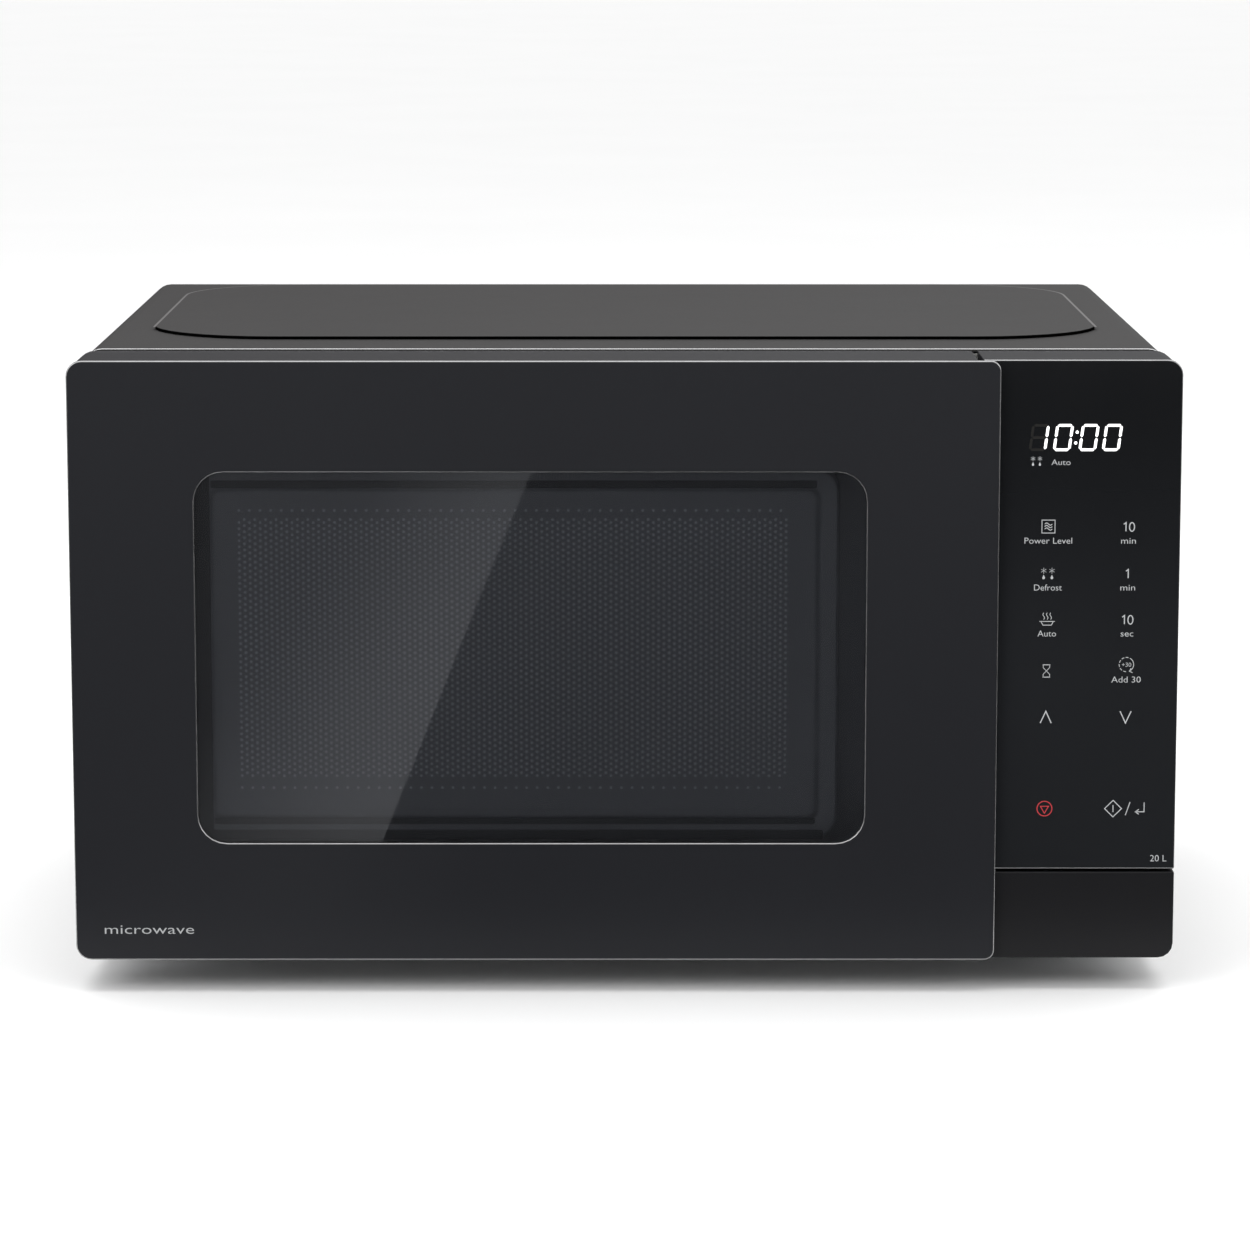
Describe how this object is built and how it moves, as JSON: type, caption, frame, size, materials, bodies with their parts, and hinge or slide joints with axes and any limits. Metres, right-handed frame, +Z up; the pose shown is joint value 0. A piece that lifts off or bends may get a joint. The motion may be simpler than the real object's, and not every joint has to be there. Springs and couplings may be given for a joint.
{
  "type": "microwave oven",
  "caption": "Countertop microwave oven: side-hung door with a perforated window, push-button door release, touch panel, and a glass turntable on a roller ring in a steel cavity.",
  "frame": {"origin": "centre of the bounding box's bottom face, on the worktop that the feet stand on", "axes": "+X to the right seen from the front, +Y from the front to the back, so the door faces -Y, +Z up"},
  "size_m": [0.443, 0.34, 0.258],
  "materials": {
    "black_paint": "satin black powder paint",
    "galvanised": "bare galvanised sheet",
    "cavity_enamel": "light grey enamel",
    "door_black": "satin",
    "panel_gloss": "gloss",
    "inner_plastic": "fine texture",
    "screen_black": "satin black",
    "smoked_glass": "smoked, transparent",
    "clear_film": "clear film",
    "clear_glass": "clear",
    "natural_plastic": "natural acetal",
    "white_plastic": "white",
    "switch_black": "black",
    "plunger_red": "red",
    "spring_steel": "bright",
    "zinc_screw": "zinc plated",
    "rubber": "matt black",
    "board_green": "solder resist",
    "mica": "mica sheet",
    "aluminium": "mill finish",
    "lamination": "varnished laminations",
    "copper": "enamelled copper wire"
  },
  "bodies": {
    "cabinet": {"outer_wrap": "black_paint", "back_panel": "galvanised", "base_plate": "galvanised", "cord_gland": "rubber", "front_frame": "cavity_enamel", "cavity_liner": "cavity_enamel", "hinge_upper": "spring_steel", "hinge_lower": "spring_steel", "control_housing": "inner_plastic", "control_fascia": "panel_gloss", "display_module": "switch_black", "control_board": "board_green", "button_spring": "spring_steel", "latch_board": "white_plastic", "primary_switch": "switch_black", "monitor_switch": "switch_black", "secondary_switch": "switch_black", "turntable_motor": "galvanised", "waveguide": "galvanised", "waveguide_cover": "mica", "magnetron_yoke": "galvanised", "magnetron_tube": "aluminium", "magnetron_filter": "galvanised", "transformer_core": "lamination", "transformer_winding": "copper", "hv_capacitor": "aluminium", "fan_shroud": "natural_plastic", "fan_motor": "lamination", "noise_filter_board": "board_green", "lamp_holder": "white_plastic", "cavity_lamp": "clear_glass", "thermal_cutout": "switch_black", "wrap_screw_upper_left": "zinc_screw", "wrap_screw_upper_right": "zinc_screw", "wrap_screw_lower_left": "zinc_screw", "wrap_screw_lower_right": "zinc_screw", "foot_front_left": "rubber", "foot_front_right": "rubber", "foot_rear_left": "rubber", "foot_rear_right": "rubber"},
    "door": {"door_frame": "door_black", "door_front_cover": "door_black", "window_pane": "smoked_glass", "choke_pan": "screen_black", "inner_film": "clear_film", "choke_cover": "inner_plastic", "latch_spring": "spring_steel"},
    "latch_key": {"latch_hooks": "natural_plastic"},
    "door_button": {"release_button": "door_black"},
    "latch_lever": {"release_lever": "natural_plastic"},
    "primary_plunger_body": {"primary_plunger": "plunger_red"},
    "monitor_plunger_body": {"monitor_plunger": "plunger_red"},
    "secondary_plunger_body": {"secondary_plunger": "plunger_red"},
    "fan": {"fan_blade": "white_plastic"},
    "turntable": {"turntable_coupler": "natural_plastic", "glass_tray": "clear_glass"},
    "support_ring": {"roller_ring": "natural_plastic"},
    "wheel_1": {"roller_wheel_1": "natural_plastic"},
    "wheel_2": {"roller_wheel_2": "natural_plastic"},
    "wheel_3": {"roller_wheel_3": "natural_plastic"}
  },
  "joints": [
    {"name": "door_hinge", "type": "hinge", "parent": "cabinet", "child": "door", "pos_m": [-0.215, -0.1385, 0.1349], "axis": [0, 0, -1], "range_deg": [0, 100]},
    {"name": "button_press", "type": "slide", "parent": "cabinet", "child": "door_button", "axis": [0, 1, 0], "range_m": [0, 0.005], "stiffness_N_per_m": 400, "springref_m": -0.005, "deforming": ["button_spring"]},
    {"name": "lever_turn", "type": "hinge", "parent": "cabinet", "child": "latch_lever", "pos_m": [0.139, -0.1262, 0.057], "axis": [1, 0, 0], "range_deg": [0, 12.5]},
    {"name": "hook_lift", "type": "slide", "parent": "door", "child": "latch_key", "axis": [0, 0, 1], "range_m": [0, 0.0024], "deforming": ["latch_spring"]},
    {"name": "primary_plunger_press", "type": "slide", "parent": "cabinet", "child": "primary_plunger_body", "axis": [0, 1, 0], "range_m": [0, 0.001], "stiffness_N_per_m": 300, "springref_m": -0.001},
    {"name": "monitor_plunger_press", "type": "slide", "parent": "cabinet", "child": "monitor_plunger_body", "axis": [0, 1, 0], "range_m": [0, 0.001], "stiffness_N_per_m": 300, "springref_m": -0.001},
    {"name": "secondary_plunger_press", "type": "slide", "parent": "cabinet", "child": "secondary_plunger_body", "axis": [0, 1, 0], "range_m": [0, 0.001], "stiffness_N_per_m": 300, "springref_m": -0.001},
    {"name": "fan_spin", "type": "hinge", "parent": "cabinet", "child": "fan", "pos_m": [0.163, 0.149, 0.145], "axis": [0, 1, 0], "continuous": true},
    {"name": "turntable_spin", "type": "hinge", "parent": "cabinet", "child": "turntable", "pos_m": [-0.0455, 0.0135, 0.03], "axis": [0, 0, 1], "continuous": true},
    {"name": "ring_spin", "type": "hinge", "parent": "cabinet", "child": "support_ring", "pos_m": [-0.0455, 0.0135, 0.03], "axis": [0, 0, 1], "continuous": true},
    {"name": "wheel_1_roll", "type": "hinge", "parent": "support_ring", "child": "wheel_1", "pos_m": [-0.0455, 0.11, 0.0378], "axis": [0, 1, 0], "continuous": true},
    {"name": "wheel_2_roll", "type": "hinge", "parent": "support_ring", "child": "wheel_2", "pos_m": [-0.12907, -0.03475, 0.0378], "axis": [-0.866, -0.5, 0], "continuous": true},
    {"name": "wheel_3_roll", "type": "hinge", "parent": "support_ring", "child": "wheel_3", "pos_m": [0.03807, -0.03475, 0.0378], "axis": [0.866, -0.5, 0], "continuous": true}
  ],
  "couplings": [
    {"joint": "lever_turn", "follows": "button_press", "rad_per_m": 43.6},
    {"joint": "hook_lift", "follows": "button_press", "ratio": 0.48},
    {"joint": "ring_spin", "follows": "turntable_spin", "ratio": 0.5},
    {"joint": "wheel_1_roll", "follows": "turntable_spin", "ratio": -6.4333},
    {"joint": "wheel_2_roll", "follows": "turntable_spin", "ratio": -6.4333},
    {"joint": "wheel_3_roll", "follows": "turntable_spin", "ratio": -6.4333}
  ]
}
